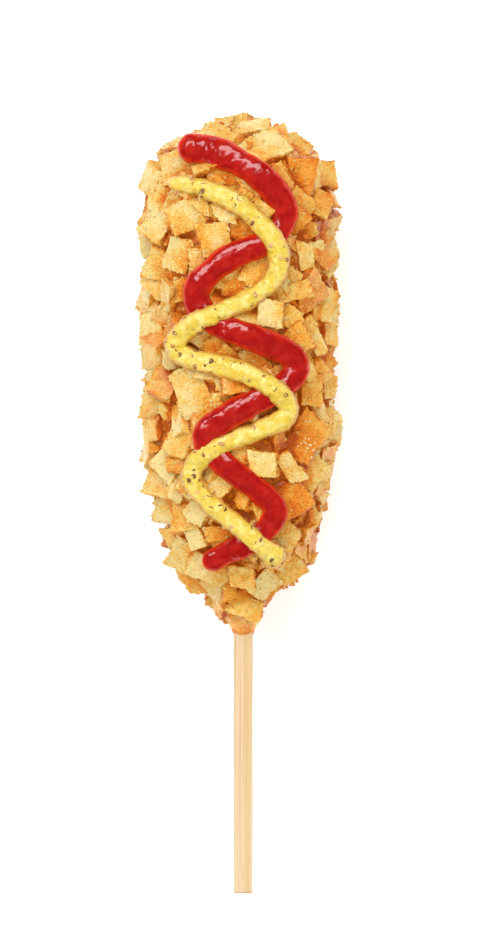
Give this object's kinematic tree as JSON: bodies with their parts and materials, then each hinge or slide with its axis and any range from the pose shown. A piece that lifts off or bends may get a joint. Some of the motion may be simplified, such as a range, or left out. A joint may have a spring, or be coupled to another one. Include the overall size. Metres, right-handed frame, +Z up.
{
  "type": "corn dog",
  "caption": "Fried corn dog in a coat of potato dice with ketchup and grain mustard zigzags, on a square wooden stick, lying sauce side up.",
  "frame": {"origin": "on the table under the middle of the whole dog's box", "axes": "+Y along the dog from the end of the stick to the crown, +Z up through the sauces, +X across the body"},
  "size_m": [0.06, 0.2188, 0.056],
  "materials": {
    "fried_batter": "crisp deep-fried wheat batter with a light oil sheen",
    "fried_potato": "fried potato, pale in the middle and browned along its edges",
    "ketchup": "wet glossy tomato ketchup",
    "grain_mustard": "satin yellow mustard with brown seeds and husk flecks",
    "stick_wood": "unfinished pale wood with fine lengthwise grain"
  },
  "bodies": {
    "root": {"batter": "fried_batter", "potato_coat": "fried_potato", "ketchup": "ketchup", "mustard": "grain_mustard", "stick": "stick_wood"}
  },
  "joints": []
}
